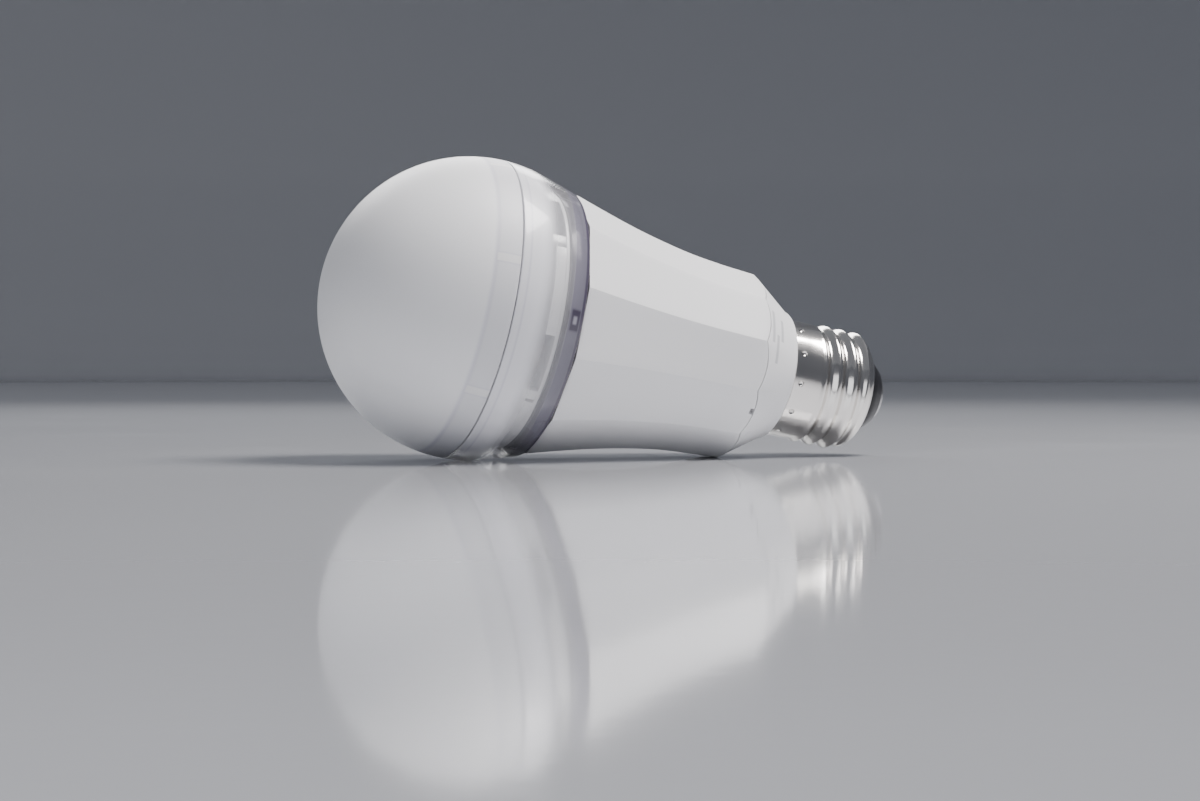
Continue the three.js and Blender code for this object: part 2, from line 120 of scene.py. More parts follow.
# Spins a drawn line round the axis. A part turn is closed at both ends.
def turned(name, points, sides=144, angle=fullTurn):
    piece = drawLine(name, points)
    bpy.ops.mesh.select_all(action="SELECT")
    bpy.ops.mesh.spin(steps=sides, angle=angle, center=(0, 0, 0), axis=(0, 0, 1))
    bpy.ops.mesh.select_all(action="SELECT")
    bpy.ops.mesh.remove_doubles(threshold=0.001)
    if angle < fullTurn:
        bpy.ops.mesh.fill_holes(sides=0)
    bpy.ops.mesh.normals_make_consistent(inside=False)
    leave()
    return piece


# Joins loops of points into a closed ring. A loop's radius and height are numbers, or functions of the angle.
def lofted(name, loops, sides=144):
    bpy.ops.object.select_all(action="DESELECT")
    bpy.ops.mesh.primitive_circle_add(vertices=sides, radius=20)
    piece = bpy.context.object
    piece.name = piece.data.name = name
    edit(piece)
    for i, (radius, height) in enumerate([*loops, loops[0]]):
        if i:
            bpy.ops.mesh.extrude_region_move()
        leave()
        for vertex in piece.data.vertices:
            if vertex.select:
                angle = atan2(vertex.co.y, vertex.co.x)
                r = radius(angle) if callable(radius) else radius
                h = height(angle) if callable(height) else height
                vertex.co = (r * cos(angle), r * sin(angle), h)
        bpy.ops.object.mode_set(mode="EDIT")
    bpy.ops.mesh.select_all(action="SELECT")
    bpy.ops.mesh.remove_doubles(threshold=0.001)
    bpy.ops.mesh.normals_make_consistent(inside=False)
    leave()
    return piece


# A block with all its edges rounded, drawn at +X and swung round the axis.
def block(name, size, place, rounding, swing=0):
    bpy.ops.object.select_all(action="DESELECT")
    bpy.ops.mesh.primitive_cube_add(size=1, location=place, scale=size)
    piece = bpy.context.object
    piece.name = piece.data.name = name
    bpy.ops.object.transform_apply(location=True, scale=True)
    if rounding:
        edit(piece)
        bpy.ops.mesh.bevel(affect="EDGES", offset=rounding, segments=3)
        leave()
    return swung(piece, swing)


def swung(piece, degrees):
    only(piece)
    piece.rotation_euler = (0, 0, radians(degrees))
    bpy.ops.object.transform_apply(rotation=True)
    return piece


# Copies of a piece spaced round the axis, each with its own mesh. The piece itself becomes the first.
def ranged(piece, count, start):
    swung(piece, start)
    copies = [piece]
    for i in range(1, count):
        copy = piece.copy()
        copy.data = piece.data.copy()
        bpy.context.collection.objects.link(copy)
        copies.append(swung(copy, 360 * i / count))
    return copies


def applied(piece, kind, **settings):
    only(piece)
    modifier = piece.modifiers.new(kind.title(), kind)
    for key, value in settings.items():
        setattr(modifier, key, value)
    bpy.ops.object.modifier_apply(modifier=modifier.name)
    return piece


# Adds the other pieces to a piece, or cuts them from it.
def combined(piece, others, operation):
    for other in others:
        applied(piece, "BOOLEAN", object=other, operation=operation, solver="EXACT")
        bpy.data.objects.remove(other)
    return piece


# Lays a finished piece down in its place, gives it its finish, and hides the imported pieces that it stands
# for.
def settle(piece, slot, finish, *nodes, sharpness=35):
    only(piece)
    piece.matrix_world = layDown
    bpy.ops.object.transform_apply(location=True, rotation=True, scale=True)
    bpy.ops.object.shade_smooth_by_angle(angle=radians(sharpness))
    piece.data.materials.clear()
    piece.data.materials.append(finish)
    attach(piece, "root")
    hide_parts(*nodes)
    print("made", piece.name, "with", len(piece.data.polygons), "faces")


# Shader maths. A Signal is one socket, and an expression on Signals adds its Math nodes.
class Signal:
    def __init__(self, finish, socket):
        self.finish = finish
        self.socket = socket

    def worked(self, operation, *values):
        return self.finish.node("ShaderNodeMath", {"operation": operation}, dict(enumerate(values)))

    def __add__(self, other):
        return self.worked("ADD", self, other)

    __radd__ = __add__

    def __mul__(self, other):
        return self.worked("MULTIPLY", self, other)

    __rmul__ = __mul__

    def __sub__(self, other):
        return self.worked("SUBTRACT", self, other)

    def __rsub__(self, other):
        return self.worked("SUBTRACT", other, self)

    def __lt__(self, other):
        return self.worked("LESS_THAN", self, other)

    def __mod__(self, other):
        return self.worked("FLOORED_MODULO", self, other)

    # 0 below the first value and 1 above the second, smoothly.
    def rising(self, low, high):
        settings = {"interpolation_type": "SMOOTHSTEP"}
        values = {"Value": self, "From Min": low, "From Max": high}
        return self.finish.node("ShaderNodeMapRange", settings, values)

    # 1 between two values and 0 outside them, with soft edges.
    def within(self, low, high, soft):
        return self.rising(low - soft, low + soft) * (1 - self.rising(high - soft, high + soft))

    # The same, round a middle value.
    def near(self, middle, reach, soft):
        return self.within(middle - reach, middle + reach, soft)


class Finish:
    def __init__(self, name, **constants):
        self.material = bpy.data.materials.new(name)
        self.material.use_nodes = True
        self.tree = self.material.node_tree
        self.shader = self.tree.nodes["Principled BSDF"]
        for key, value in constants.items():
            self.feed(self.shader.inputs[key.replace("_", " ")], value)
        # The same point in the bulb's own upright millimetres.
        settings = {"vector_type": "TEXTURE"}
        place = {"Location": tip, "Rotation": (0, lean, 0), "Scale": (mm, mm, mm)}
        place["Vector"] = self.node("ShaderNodeTexCoord", output="Object")
        self.place = self.node("ShaderNodeMapping", settings, place)

    # Adds a node: its type, its settings, and what goes into its sockets.
    def node(self, kind, settings=None, inputs=None, output=0):
        made = self.tree.nodes.new(kind)
        for key, value in (settings or {}).items():
            setattr(made, key, value)
        for key, value in (inputs or {}).items():
            self.feed(made.inputs[key], value)
        return Signal(self, made.outputs[output])

    def feed(self, socket, value):
        if isinstance(value, Signal):
            self.tree.links.new(value.socket, socket)
        elif socket.type == "RGBA" and len(value) == 3:
            socket.default_value = (*value, 1)
        else:
            socket.default_value = value

    def set(self, name, value):
        self.feed(self.shader.inputs[name], value)

    def height(self):
        return self.node("ShaderNodeSeparateXYZ", None, {0: self.place}, "Z")

    # Degrees round the axis, from -180 to 180, with 0 upwards.
    def angle(self):
        split = {0: self.place}
        x = self.node("ShaderNodeSeparateXYZ", None, split, "X")
        y = self.node("ShaderNodeSeparateXYZ", None, split, "Y")
        return y.worked("ARCTAN2", y, x) * (180 / pi)

    # Degrees from the start of the nearest step, for marks that repeat every step from the first one's angle.
    def repeated(self, first, step):
        return (self.angle() - (first - step / 2)) % step

    # Mottling whose patches measure about this many millimetres, from 0 to 1.
    def noise(self, size, detail=2, roughness=0.5):
        values = {"Vector": self.place, "Scale": 1 / size, "Detail": detail, "Roughness": roughness}
        return self.node("ShaderNodeTexNoise", None, values, "Fac")

    # A colour between two others. Sockets 6 and 7 are the Mix node's colours, and output 2 its result.
    def mix(self, share, first, second):
        return self.node("ShaderNodeMix", {"data_type": "RGBA"}, {0: share, 6: first, 7: second}, 2)

    # Relief: the signal's full range stands this many millimetres high.
    def relief(self, signal, depth, strength=1):
        values = {"Height": signal, "Distance": depth * mm, "Strength": strength}
        self.set("Normal", self.node("ShaderNodeBump", None, values))


# The camera lies almost at table height and looks at the bulb from its front, a little towards its base.
print("camera")
camera = {
    "lens": 79.9,
    "yaw": 19.29,  # degrees that the view turns from +Y towards +X
    "pitch": -1.0,
    "distance": 557.7,  # from the middle of the dome's sphere, in millimetres
    "side": 27.26,
    "rise": -19.22,
}
seam = measure("diffuser_dome")[1] - measure("diffuser_dome")[2]  # the dome's equator
sphereCentre = layDown @ Vector((0, 0, seam))
yaw, pitch = radians(camera["yaw"]), radians(camera["pitch"])
forward = Vector((sin(yaw) * cos(pitch), cos(yaw) * cos(pitch), sin(pitch)))
rightwards = Vector((cos(yaw), -sin(yaw), 0))
upwards = rightwards.cross(forward)
eye = sphereCentre + mm * (
    camera["side"] * rightwards + camera["rise"] * upwards - camera["distance"] * forward
)
bpy.ops.object.camera_add(location=eye, rotation=(pi / 2 + pitch, 0, -yaw))
bpy.context.scene.camera = bpy.context.object
bpy.context.object.data.lens = camera["lens"]
bpy.context.object.data.clip_start = 0.01


# A pale table that turns up into a wall far behind, all round.
print("table")
table = {
    "flat": 1600,
    "bend": 700,
    "wall": 1500,
    "colour": (0.62, 0.63, 0.66),
    "roughness": 0.05,
}
bend = arc(table["bend"], table["bend"], -pi / 2, 0, 24)
edge = [(table["flat"] + x, z) for x, z in bend]
tableTop = turned("tableTop", [(0, 0), *edge, (edge[-1][0], edge[-1][1] + table["wall"])], 96)
only(tableTop)
tableTop.scale = (mm, mm, mm)
bpy.ops.object.transform_apply(scale=True)
edit(tableTop)
bpy.ops.mesh.flip_normals()
leave()
bpy.ops.object.shade_smooth()
lacquer = Finish("table lacquer", Base_Color=table["colour"], Specular_IOR_Level=0.5)
lacquer.set("Roughness", table["roughness"] + 0.03 * lacquer.noise(60))
lacquer.relief(lacquer.noise(4), 0.004)
tableTop.data.materials.append(lacquer.material)


# Soft studio lights. Each stands at a place in millimetres and points at the bulb.
print("lights")
lights = {
    "key": {"place": (230, -110, 560), "size": (300, 260), "power": 8, "colour": (1, 0.97, 0.96)},
    "fill": {"place": (-560, -520, 200), "size": (420, 360), "power": 0.8, "colour": (0.94, 0.96, 1)},
    "rim": {"place": (60, 520, 360), "size": (500, 200), "power": 2.6, "colour": (1, 1, 1)},
}
for name, light in lights.items():
    place = Vector(light["place"]) * mm
    bpy.ops.object.light_add(type="AREA", location=place)
    lamp = bpy.context.object
    lamp.name = name + "Light"
    lamp.rotation_euler = (Vector((0, 0, 0.02)) - place).to_track_quat("-Z", "Y").to_euler()
    lamp.data.shape = "RECTANGLE"
    lamp.data.size, lamp.data.size_y = light["size"][0] * mm, light["size"][1] * mm
    lamp.data.energy = light["power"]
    lamp.data.color = light["colour"]
world = bpy.data.worlds.new("studio air")
bpy.context.scene.world = world
world.use_nodes = True
air = world.node_tree.nodes["Background"].inputs
air["Color"].default_value = (0.86, 0.9, 1, 1)
air["Strength"].default_value = 0.25


# Frosted plastic of the dome. It is milky over the lamps, and a little clearer just above the seam, where the
# ring's spigot and its ribs lie close behind it. There the spigot's band and its top edge get painted shade,
# and the ribs painted light with painted shade round them.
print("finishes")
ring = {
    "foot": 79.6,
    "footRadius": 28.5,
    "shoulder": seam - 0.15,
    "spigot": 5.5,
    "ribs": 7,
    "firstRib": 17,  # degrees from the front
    "hooks": 4,
    "hookHeight": 81.6,
}
spigotTop = ring["shoulder"] + ring["spigot"]


def frostedPlastic():
    # The band colour is painted shade over the spigot behind the wall, and the line colour a darker line of
    # painted shade along the spigot's top edge.
    milk = {"colour": (0.90, 0.90, 0.92), "band": (0.85, 0.85, 0.89), "line": (0.66, 0.65, 0.74)}
    # Rib marks: painted light on each rib behind the wall, with painted shade on a wider edge round it.
    paintedRibMarks = {"rib": (0.97, 0.96, 0.96), "halfWidth": 1.5, "edge": 0.6, "soft": 0.35}  # degrees
    finish = Finish("frosted plastic", IOR=1.49, Subsurface_Weight=0.3, Subsurface_Scale=0.005)
    finish.shader.inputs["Subsurface Radius"].default_value = (1, 0.95, 0.95)
    height = finish.height()
    # The band mask makes the wall a little clearer and carries painted shade; the next mask carries the painted
    # shade line along the spigot's top edge.
    band = height.within(seam, spigotTop, 0.5)
    line = height.within(spigotTop - 0.5, spigotTop + 0.2, 0.5)
    step = 360 / ring["ribs"]
    across = finish.repeated(towardsFront + ring["firstRib"], step)
    narrow = across.near(step / 2, paintedRibMarks["halfWidth"], paintedRibMarks["soft"])
    wide = across.near(step / 2, paintedRibMarks["halfWidth"] + paintedRibMarks["edge"], paintedRibMarks["soft"])
    # Painted light on each rib, and painted shade on the edge round it.
    rib = height.within(seam + 0.2, spigotTop - 0.3, 0.25) * narrow
    ribShadeEdge = height.within(seam, spigotTop, 0.25) * wide - rib
    colour = finish.mix(band, milk["colour"], milk["band"])
    colour = finish.mix(line * 0.7, colour, milk["line"])
    colour = finish.mix(ribShadeEdge * 0.45, colour, milk["line"])
    colour = finish.mix(rib * 0.8, colour, paintedRibMarks["rib"])
    finish.set("Base Color", finish.mix(finish.noise(9) * 0.06, colour, (0.84, 0.84, 0.88)))
    finish.set("Alpha", 1 - 0.12 * band)
    finish.set("Roughness", 0.42 + 0.06 * finish.noise(3))
    finish.relief(finish.noise(0.22), 0.004)
    return finish.material


# The ring is the same plastic, frosted where it carries on the dome and clear over its lower part. A band of
# painted shade at its foot stands for the dark rim behind it, with a darker frame of painted shade round each
# latch window and a lighter pane of painted light where the hook shows in it. A thin line of painted shade lies
# below the seam over the inner step, and a dark line of painted shadow runs along the foot, where it meets the
# body.
def clearPlastic():
    clear = {"from": 86.5, "to": 91, "alpha": 0.2, "colour": (0.86, 0.86, 0.90)}
    # The line colour is a thin line of painted shade over the ring's inner step, below the seam.
    milky = {"alpha": 0.88, "line": (0.60, 0.59, 0.68)}
    shade = {"top": 82.9, "alpha": 0.62, "colour": (0.26, 0.25, 0.31)}
    # The frame colour is painted shade round each latch window, and the pane colour painted light where the
    # hook shows in it.
    latch = {"height": ring["hookHeight"], "frame": (0.06, 0.05, 0.08), "litPane": (0.42, 0.41, 0.48)}
    # A dark line of painted shadow along the foot, where the ring meets the body.
    footShadowColour = (0.07, 0.06, 0.09)
    finish = Finish("clear plastic", IOR=1.49, Coat_Weight=0.5, Coat_Roughness=0.1)
    height = finish.height()
    milk = height.rising(clear["from"], clear["to"])
    shaded = 1 - height.rising(shade["top"], shade["top"] + 0.4)
    # Mask for the painted shadow line along the foot.
    foot = 1 - height.rising(ring["foot"] + 0.7, ring["foot"] + 0.9)
    # Mask for the painted shade line over the inner step.
    line = height.within(seam - 2, seam - 1.6, 0.25)
    step = 360 / ring["hooks"]
    across = finish.repeated(towardsFront, step)
    # Painted shade round each latch window, and painted light in its middle where the hook shows.
    rim = height.within(latch["height"] - 1.1, latch["height"] + 1, 0.3) * across.near(step / 2, 4.4, 0.8)
    litPane = height.within(latch["height"] - 0.45, latch["height"] + 0.4, 0.25)
    litPane = litPane * across.near(step / 2, 1.6, 0.6)
    colour = finish.mix(line * 0.55, clear["colour"], milky["line"])
    colour = finish.mix(finish.noise(8) * 0.08, colour, (0.8, 0.8, 0.87))
    colour = finish.mix(shaded, colour, shade["colour"])
    colour = finish.mix(rim, colour, latch["frame"])
    colour = finish.mix(litPane * 0.7, colour, latch["litPane"])
    finish.set("Base Color", finish.mix(foot, colour, footShadowColour))
    alpha = clear["alpha"] + (milky["alpha"] - clear["alpha"]) * milk
    alpha = alpha + (shade["alpha"] - clear["alpha"]) * shaded + (1 - shade["alpha"]) * foot
    finish.set("Alpha", alpha + 0.3 * rim)
    finish.set("Roughness", 0.16 + 0.16 * milk + 0.04 * finish.noise(2))
    finish.relief(finish.noise(0.3), 0.003)
    return finish.material


# Satin powder coat with a fine orange peel.
def paintedMetal():
    finish = Finish("satin paint", Specular_IOR_Level=0.5, Coat_Weight=0.15)
    finish.set("Base Color", finish.mix(finish.noise(14) * 0.1, (0.84, 0.84, 0.85), (0.78, 0.78, 0.8)))
    finish.set("Roughness", 0.36 + 0.08 * finish.noise(1.4))
    finish.relief(finish.noise(0.35, 3) * 0.7 + finish.noise(1.5) * 0.3, 0.012)
    return finish.material


# Satin plastic of the collar, with three plain grey bars printed round it.
def neckPlastic():
    finish = Finish("neck plastic", Specular_IOR_Level=0.5)
    height, angle = finish.height(), finish.angle()
    bars = [(33.8, -73, -50), (32.3, -86, -66), (30.9, -69, -51)]  # height, and degrees from and to
    colour = finish.mix(finish.noise(10) * 0.1, (0.83, 0.83, 0.84), (0.77, 0.77, 0.8))
    for middle, start, end in bars:
        printed = height.near(middle, 0.4, 0.15) * angle.within(start, end, 0.3)
        colour = finish.mix(printed * 0.5, colour, (0.30, 0.30, 0.33))
    finish.set("Base Color", colour)
    finish.set("Roughness", 0.32 + 0.08 * finish.noise(1.8))
    finish.relief(finish.noise(0.25, 3), 0.006)
    return finish.material


# Bright nickel with patches of dull tarnish and fine scuffs.
def nickelPlate():
    finish = Finish("nickel plate", Metallic=1.0)
    tarnish = finish.noise(5, 4)
    finish.set("Base Color", finish.mix(tarnish * 0.5, (0.80, 0.78, 0.75), (0.66, 0.63, 0.60)))
    scuffs = finish.noise(0.8, 4, 0.7)
    finish.set("Roughness", 0.07 + 0.09 * tarnish + 0.07 * scuffs)
    finish.relief(scuffs, 0.004)
    return finish.material


def blackGlass():
    finish = Finish("black glass", IOR=1.52, Specular_IOR_Level=0.25)
    finish.set("Base Color", finish.mix(finish.noise(3) * 0.4, (0.008, 0.008, 0.01), (0.03, 0.03, 0.034)))
    finish.set("Roughness", 0.26 + 0.16 * finish.noise(2, 3))
    finish.relief(finish.noise(1.2, 3), 0.02)
    return finish.material


# Tinned contact: soft solder with a crystalline bloom.
def tinnedContact():
    finish = Finish("tinned contact", Metallic=1.0)
    bloom = finish.node(
        "ShaderNodeTexVoronoi", {"feature": "F1"}, {"Vector": finish.place, "Scale": 1.1}, "Distance"
    )
    finish.set("Base Color", finish.mix(bloom, (0.34, 0.34, 0.35), (0.46, 0.46, 0.46)))
    finish.set("Roughness", 0.24 + 0.2 * finish.noise(1, 3))
    finish.relief(bloom * 0.5 + finish.noise(0.5) * 0.5, 0.03)
    return finish.material


def reflectorPlastic():
    finish = Finish("reflector plastic", Specular_IOR_Level=0.6, Coat_Weight=0.3, Coat_Roughness=0.1)
    finish.set("Base Color", finish.mix(finish.noise(6) * 0.1, (0.93, 0.93, 0.93), (0.86, 0.86, 0.88)))
    finish.set("Roughness", 0.22 + 0.08 * finish.noise(2))
    finish.relief(finish.noise(0.3), 0.004)
    return finish.material


def anodisedMetal():
    finish = Finish("dark anodised metal", Metallic=0.75)
    finish.set("Base Color", finish.mix(finish.noise(4), (0.045, 0.042, 0.06), (0.075, 0.07, 0.095)))
    finish.set("Roughness", 0.38 + 0.15 * finish.noise(0.6, 3))
    finish.relief(finish.noise(0.2, 3), 0.008)
    return finish.material


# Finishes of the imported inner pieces: colour, the tone it drifts to, how rough, the grain's size and depth in
# millimetres, and 1 for a metal.
innerFinishes = {
    "thermal_pad": ((0.36, 0.39, 0.42), (0.30, 0.33, 0.36), 0.85, 0.5, 0.03, 0),
    "plated_steel": ((0.55, 0.56, 0.57), (0.42, 0.43, 0.45), 0.3, 0.4, 0.01, 1),
    "chip_black": ((0.018, 0.018, 0.02), (0.035, 0.035, 0.038), 0.5, 0.15, 0.01, 0),
    "sleeve_plastic": ((0.70, 0.71, 0.72), (0.62, 0.63, 0.65), 0.5, 0.6, 0.01, 0),
    "capacitor_sleeve": ((0.02, 0.022, 0.03), (0.035, 0.04, 0.055), 0.35, 1.2, 0.02, 0),
    "ferrite": ((0.03, 0.03, 0.032), (0.06, 0.06, 0.062), 0.65, 0.25, 0.03, 0),
    "film_yellow": ((0.62, 0.38, 0.05), (0.50, 0.28, 0.03), 0.32, 1.5, 0.03, 0),
    "resistor_blue": ((0.12, 0.28, 0.42), (0.08, 0.20, 0.33), 0.45, 0.4, 0.02, 0),
    "red_wire": ((0.45, 0.02, 0.015), (0.34, 0.015, 0.01), 0.42, 0.8, 0.01, 0),
    "black_wire": ((0.015, 0.015, 0.017), (0.03, 0.03, 0.033), 0.42, 0.8, 0.01, 0),
    "lamp_white": ((0.80, 0.70, 0.30), (0.72, 0.60, 0.22), 0.25, 0.3, 0.01, 0),
    "lamp_red": ((0.76, 0.42, 0.36), (0.66, 0.32, 0.28), 0.25, 0.3, 0.01, 0),
    "lamp_green": ((0.42, 0.68, 0.38), (0.34, 0.58, 0.30), 0.25, 0.3, 0.01, 0),
    "lamp_blue": ((0.36, 0.48, 0.78), (0.28, 0.38, 0.68), 0.25, 0.3, 0.01, 0),
}


def innerFinish(slot):
    colour, drift, rough, grain, depth, metallic = innerFinishes[slot]
    finish = Finish(slot.replace("_", " "), Metallic=float(metallic))
    finish.set("Base Color", finish.mix(finish.noise(grain * 4, 3), colour, drift))
    finish.set("Roughness", rough + 0.12 * finish.noise(grain))
    finish.relief(finish.noise(grain, 3), depth)
    return finish.material


# Circuit board: solder mask over copper tracks, which show as lines a little lighter and higher.
def boardMask(slot, colour, track):
    finish = Finish(slot.replace("_", " "), Coat_Weight=0.4, Coat_Roughness=0.2)
    values = {"Vector": finish.place, "Scale": 0.28, "Randomness": 0.7}
    edges = finish.node("ShaderNodeTexVoronoi", {"feature": "DISTANCE_TO_EDGE"}, values, "Distance")
    tracks = edges < 0.035
    finish.set("Base Color", finish.mix(tracks, colour, track))
    finish.set("Roughness", 0.36 + 0.1 * finish.noise(0.8))
    finish.relief(tracks + finish.noise(0.3) * 0.2, 0.03)
    return finish.material


# Yellow tape wound in layers, so it is ribbed across the winding.
def windingTape():
    finish = Finish("winding tape", Coat_Weight=0.3, Coat_Roughness=0.15)
    settings = {"wave_type": "BANDS", "bands_direction": "Z"}
    values = {"Vector": finish.place, "Scale": 0.35, "Distortion": 0.6}
    ribs = finish.node("ShaderNodeTexWave", settings, values, "Fac")
    finish.set("Base Color", finish.mix(ribs * 0.5, (0.72, 0.50, 0.10), (0.56, 0.36, 0.06)))
    finish.set("Roughness", 0.3 + 0.1 * finish.noise(1))
    finish.relief(ribs, 0.04)
    return finish.material


outer = {
    "frosted_plastic": frostedPlastic(),
    "clear_plastic": clearPlastic(),
    "painted_body": paintedMetal(),
    "neck_plastic": neckPlastic(),
    "nickel_shell": nickelPlate(),
    "black_insulator": blackGlass(),
    "contact_steel": tinnedContact(),
    "reflector_white": reflectorPlastic(),
    "dark_metal": anodisedMetal(),
}
inner = {slot: innerFinish(slot) for slot in innerFinishes}
inner["board_green"] = boardMask("board_green", (0.015, 0.12, 0.045), (0.03, 0.2, 0.07))
inner["board_blue"] = boardMask("board_blue", (0.012, 0.04, 0.14), (0.02, 0.07, 0.22))
inner["board_white"] = boardMask("board_white", (0.78, 0.78, 0.75), (0.84, 0.84, 0.80))
inner["winding_tape"] = windingTape()
finishes = {**outer, **inner}

print("inner pieces")
for entry in frame["record"]["subparts"]:
    materials = frame["nodes"][entry["node"]].data.materials
    materials.clear()
    materials.append(finishes[entry["material_slot"]])


print("dome")
dome = {"wall": 1.6, "rimRounding": 0.22}
domeFloor, domeTop, domeRadius = measure("diffuser_dome")
bpy.ops.object.select_all(action="DESELECT")
bpy.ops.mesh.primitive_uv_sphere_add(segments=144, ring_count=96, radius=domeRadius, location=(0, 0, seam))
diffuserDome = bpy.context.object
diffuserDome.name = diffuserDome.data.name = "diffuserDome"
bpy.ops.object.transform_apply(location=True)
edit(diffuserDome)
bpy.ops.mesh.bisect(plane_co=(0, 0, domeFloor), plane_no=(0, 0, 1), clear_inner=True, use_fill=False)
leave()
applied(diffuserDome, "SOLIDIFY", thickness=dome["wall"], offset=-1, use_even_offset=True)
applied(diffuserDome, "BEVEL", width=dome["rimRounding"], segments=3, angle_limit=radians(50))
settle(diffuserDome, "frosted_plastic", finishes["frosted_plastic"], "diffuser_dome")


# The ring carries on the dome's sphere, tapers straight to the body, and has a spigot up inside the dome.
print("lens ring")
reach = hypot(ring["footRadius"], seam - ring["foot"])
tangent = atan2(seam - ring["foot"], ring["footRadius"]) - acos(domeRadius / reach)
outside = arc(domeRadius, seam, -tangent, -0.15 / domeRadius, 14)
ringLine = [
    (ring["footRadius"], ring["foot"], 0.3),
    *outside[:-1],
    (*outside[-1], 0.12),
    (29.3, ring["shoulder"]),
    (28.7, spigotTop, 0.25),
    (27.5, spigotTop, 0.25),
    (28.1, 93.7),
    (29.7, 92.1, 0.5),
    (29.3, 88.5, 0.5),
    (28.1, 83.3, 0.3),
    (27.05, 83.1, 0.2),
    (27.05, ring["foot"], 0.2),
    (ring["footRadius"], ring["foot"]),
]
lensRing = turned("lensRing", ringLine)
rib = block("rib", (1.2, 1.6, 4.6), (28.75, 0, ring["shoulder"] + 2.7), 0.25)
ribs = ranged(rib, ring["ribs"], towardsFront + ring["firstRib"])
hook = block("hook", (1.4, 2.2, 1.2), (26.7, 0, ring["hookHeight"]), 0.2)
hooks = ranged(hook, ring["hooks"], towardsFront)
combined(lensRing, ribs + hooks, "UNION")
settle(lensRing, "clear_plastic", finishes["clear_plastic"], "lens_ring")


# The body: a twelve-sided flare, round inside, whose rear edge is scalloped where the collar's cone meets it.
print("body")
body = {
    "facets": 12,
    "corners": [(20.7, 36.1), (21.3, 44.9), (22.4, 53.8), (24.8, 65.6), (28.5, 79.3)],
    "rows": 36,
    "wall": 1.6,
    "edgeRounding": 0.26,
}
collarSlope = 0.684
rearRadius, rearHeight = body["corners"][0]
facetStep = fullTurn / body["facets"]


# The smooth curve through the corners' radii and heights, at a share of its length.
def flared(share):
    points = body["corners"]
    i = min(int(share * (len(points) - 1)), len(points) - 2)
    t = share * (len(points) - 1) - i
    around = points[max(i - 1, 0)], points[i], points[i + 1], points[min(i + 2, len(points) - 1)]
    result = []
    for a, b, c, d in zip(*around):
        start, end = (c - a) / 2, (d - b) / 2
        curve = (2 * b - 2 * c + start + end) * t**3 + (3 * c - 3 * b - 2 * start - end) * t**2
        result.append(curve + start * t + b)
    return result


flareRows = [flared(i / body["rows"]) for i in range(body["rows"] + 1)]


# How far the flat is from the axis at an angle, for corners at this radius.
def facet(cornerRadius):
    def radius(angle):
        offset = angle - round(angle / facetStep) * facetStep
        return cornerRadius * cos(facetStep / 2) / cos(offset)

    return radius


def scallop(angle):
    return rearHeight + (facet(rearRadius)(angle) - rearRadius) / collarSlope


def bore(height):
    corner = min(flareRows, key=lambda row: abs(row[1] - height))[0]
    return corner * cos(facetStep / 2) - body["wall"]


boreHeights = [75, 74.2, 69, 64, 59.5, 55, 50, 46, 40]
heatsinkBody = lofted("heatsinkBody", [
    (facet(rearRadius), scallop),
    *[(facet(radius), height) for radius, height in flareRows[1:]],
    (25.6, 79.3),
    (25.6, 77.1),
    (22.8, 77.1),
    (22.8, 75.8),
    *[(bore(height), height) for height in boreHeights],
    (bore(rearHeight), scallop),
])
keyNotch = block("keyNotch", (5, 1.4, 1.1), (rearRadius, 0, rearHeight - 0.65), 0.2, towardsFront - 29)
combined(heatsinkBody, [keyNotch], "DIFFERENCE")
applied(heatsinkBody, "BEVEL", width=body["edgeRounding"], segments=3, angle_limit=radians(24))
settle(heatsinkBody, "painted_body", finishes["painted_body"], "heatsink_body")


# The collar: a smooth cone with a rounded lip, whose front edge follows the body's scallops.
print("collar")
collar = {"lip": 25.6, "foot": 26.6, "footRadius": 14.2, "gap": 0.3, "edgeRounding": 0.15}
spigot = bore(rearHeight) - collar["gap"]


def collarEdge(angle):
    return scallop(angle) - collar["gap"]


def collarRadius(angle):
    return rearRadius + collarSlope * (collarEdge(angle) - rearHeight)


neckCollar = lofted("neckCollar", [
    (11.3, 11.5),
    (11.3, collar["lip"]),
    (13.3, collar["lip"]),
    (13.65, collar["lip"] + 0.07),
    (13.95, collar["lip"] + 0.25),
    (14.13, collar["lip"] + 0.5),
    (collar["footRadius"], collar["lip"] + 0.85),
    (collar["footRadius"] + 0.12, collar["foot"] + 0.2),
    (collarRadius, collarEdge),
    (spigot, collarEdge),
    (spigot, 41),
    (spigot - 1.4, 41),
    (spigot - 1.4, 34.6),
    (12.5, 28.4),
    (10.2, 26),
    (10.2, 11.5),
])
applied(neckCollar, "BEVEL", width=collar["edgeRounding"], segments=3, angle_limit=radians(40))
settle(neckCollar, "neck_plastic", finishes["neck_plastic"], "neck_collar")


# The screw shell: a rounded right-handed thread that runs out into a plain band with punched crimps.
print("screw shell")
shell = {
    "pitch": 3.63,
    "root": 12.1,
    "crest": 13.1,
    "shift": 1.1,  # height of the crest on the upper side, less whole turns
    "threadFoot": 7,
    "threadHead": 18.3,
    "runIn": 1.3,
    "band": 12.75,
    "top": 25.3,
    "rowStep": 0.24,
    "crimps": 12,
}


def eased(value, low, high):
    share = min(max((value - low) / (high - low), 0), 1)
    return share * share * (3 - 2 * share)


def threadRow(height):
    def radius(angle):
        wave = 0.5 + 0.5 * cos(fullTurn * ((height - shell["shift"]) / shell["pitch"] - angle / fullTurn))
        rise = (shell["crest"] - shell["root"]) * wave
        start = eased(height, shell["threadFoot"], shell["threadFoot"] + shell["runIn"])
        end = eased(height, shell["threadHead"] - 0.7, shell["threadHead"] + 0.7)
        return (shell["root"] + rise * start) * (1 - end) + shell["band"] * end

    return radius, height


